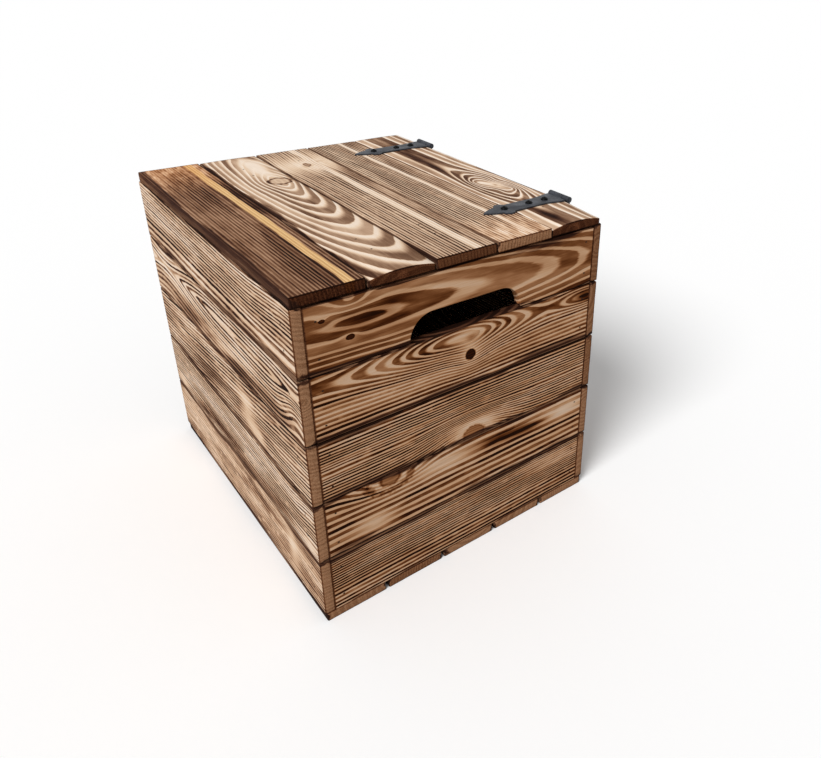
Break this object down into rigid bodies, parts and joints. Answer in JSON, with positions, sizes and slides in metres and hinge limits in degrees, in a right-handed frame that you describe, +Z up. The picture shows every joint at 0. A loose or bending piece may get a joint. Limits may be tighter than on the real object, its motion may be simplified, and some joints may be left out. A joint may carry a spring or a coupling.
{
  "type": "wooden storage box with lid",
  "caption": "Boarded wooden storage box with a hinged lid on black strap hinges, hand holes in both ends and a slatted floor, in torched and brushed softwood.",
  "frame": {"origin": "middle of the floor slats' underside, halfway between the front and back faces and halfway between the two hand-hole ends", "axes": "+Z up; +X from the front wall, where the lid opens, to the hinge wall; +Y from the right hand-hole end, seen in the picture, to the left one"},
  "size_m": [0.3342, 0.392, 0.3442],
  "materials": {
    "flamed_pine": "torched, brushed and oiled softwood, matte",
    "plain_pine": "sawn softwood, lightly torched",
    "black_iron": "black, satin",
    "brad_steel": "dull bare steel"
  },
  "bodies": {
    "crate": {"back_board_1": "flamed_pine", "back_board_2": "flamed_pine", "back_board_3": "flamed_pine", "back_board_4": "flamed_pine", "back_board_5": "flamed_pine", "back_left_post": "plain_pine", "back_right_post": "plain_pine", "back_wall_brads": "brad_steel", "floor_brads": "brad_steel", "floor_slat_1": "flamed_pine", "floor_slat_2": "flamed_pine", "floor_slat_3": "flamed_pine", "floor_slat_4": "flamed_pine", "floor_slat_5": "flamed_pine", "front_board_1": "flamed_pine", "front_board_2": "flamed_pine", "front_board_3": "flamed_pine", "front_board_4": "flamed_pine", "front_board_5": "flamed_pine", "front_left_post": "plain_pine", "front_right_post": "plain_pine", "front_wall_brads": "brad_steel", "hinge_leaf_1": "black_iron", "hinge_leaf_2": "black_iron", "hinge_pin_1": "black_iron", "hinge_pin_2": "black_iron", "leaf_screws": "black_iron", "left_end_board_1": "flamed_pine", "left_end_board_2": "flamed_pine", "left_end_board_3": "flamed_pine", "left_end_board_4": "flamed_pine", "left_end_board_5": "flamed_pine", "left_end_brads": "brad_steel", "right_end_board_1": "flamed_pine", "right_end_board_2": "flamed_pine", "right_end_board_3": "flamed_pine", "right_end_board_4": "flamed_pine", "right_end_board_5": "flamed_pine", "right_end_brads": "brad_steel"},
    "lid": {"hinge_strap_1": "black_iron", "hinge_strap_2": "black_iron", "lid_batten_1": "plain_pine", "lid_batten_2": "plain_pine", "lid_board_1": "flamed_pine", "lid_board_2": "flamed_pine", "lid_board_3": "flamed_pine", "lid_board_4": "flamed_pine", "lid_board_5": "flamed_pine", "lid_brads": "brad_steel", "strap_screws": "black_iron"}
  },
  "joints": [
    {"name": "lid_hinge", "type": "hinge", "parent": "crate", "child": "lid", "pos_m": [0.1658, 0, 0.3408], "axis": [0, 1, 0], "range_deg": [0, 240]}
  ]
}
